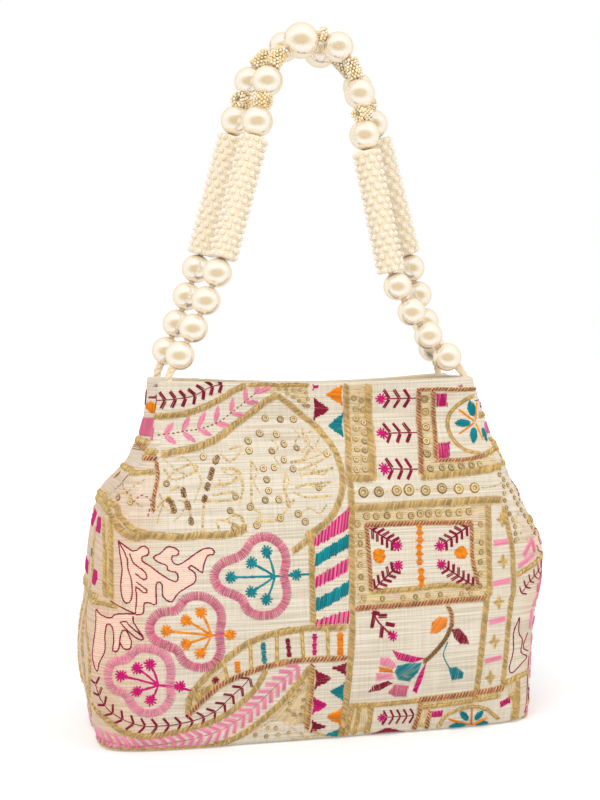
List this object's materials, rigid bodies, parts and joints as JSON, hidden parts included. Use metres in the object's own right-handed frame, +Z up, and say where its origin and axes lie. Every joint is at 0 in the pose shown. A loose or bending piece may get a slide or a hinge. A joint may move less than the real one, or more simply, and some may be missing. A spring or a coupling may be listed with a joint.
{
  "type": "potli bag",
  "caption": "Embroidered cloth potli handbag: a soft flat-based pouch, pinched shut at the mouth, with hinged handles of strung pearls, seed-bead sleeves and gilt spacers.",
  "frame": {"origin": "on the table, under the middle of the base", "axes": "+X to the bag's right as its front is faced, +Y from the front to the back, +Z up"},
  "size_m": [0.25, 0.094, 0.3737],
  "materials": {
    "cloth": "slubbed cream silk with all-over embroidery in gold, magenta, teal, maroon and orange",
    "lining": "plain cream satin",
    "board": "grey stiffener board",
    "snap": "polished gilt",
    "cord": "twisted cream cord",
    "pearl": "cream imitation pearl",
    "seed": "small pearl beads woven into a sleeve",
    "gilt": "tiny gilt beads"
  },
  "bodies": {
    "root": {"back_left_anchor": "cord", "back_right_anchor": "cord", "base_board": "board", "base_panel": "cloth", "front_left_anchor": "cord", "front_right_anchor": "cord", "lining": "lining", "outer_sleeve": "cloth", "snap_socket": "snap", "snap_stud": "snap"},
    "front_handle": {"front_cord": "cord", "front_crown_pearl_1": "pearl", "front_gilt_spacer_1": "gilt", "front_gilt_spacer_2": "gilt", "front_gilt_spacer_3": "gilt", "front_gilt_spacer_4": "gilt", "front_gilt_spacer_5": "gilt", "front_lower_pearl_1": "pearl", "front_lower_pearl_2": "pearl", "front_lower_pearl_3": "pearl", "front_lower_pearl_4": "pearl", "front_lower_pearl_5": "pearl", "front_lower_pearl_6": "pearl", "front_lower_pearl_7": "pearl", "front_lower_pearl_8": "pearl", "front_seed_sleeve_1": "seed", "front_seed_sleeve_2": "seed", "front_upper_pearl_1": "pearl", "front_upper_pearl_2": "pearl", "front_upper_pearl_3": "pearl", "front_upper_pearl_4": "pearl", "front_upper_pearl_5": "pearl"},
    "back_handle": {"back_cord": "cord", "back_crown_pearl_1": "pearl", "back_gilt_spacer_1": "gilt", "back_gilt_spacer_2": "gilt", "back_gilt_spacer_3": "gilt", "back_gilt_spacer_4": "gilt", "back_gilt_spacer_5": "gilt", "back_lower_pearl_1": "pearl", "back_lower_pearl_2": "pearl", "back_lower_pearl_3": "pearl", "back_lower_pearl_4": "pearl", "back_lower_pearl_5": "pearl", "back_lower_pearl_6": "pearl", "back_lower_pearl_7": "pearl", "back_lower_pearl_8": "pearl", "back_seed_sleeve_1": "seed", "back_seed_sleeve_2": "seed", "back_upper_pearl_1": "pearl", "back_upper_pearl_2": "pearl", "back_upper_pearl_3": "pearl", "back_upper_pearl_4": "pearl", "back_upper_pearl_5": "pearl"}
  },
  "joints": [
    {"name": "front_handle_swing", "type": "hinge", "parent": "root", "child": "front_handle", "pos_m": [-0.001, -0.01981, 0.19002], "axis": [1, 0, 0], "range_deg": [0, 80]},
    {"name": "back_handle_swing", "type": "hinge", "parent": "root", "child": "back_handle", "pos_m": [-0.001, 0.01981, 0.19002], "axis": [-1, 0, 0], "range_deg": [0, 80]}
  ]
}
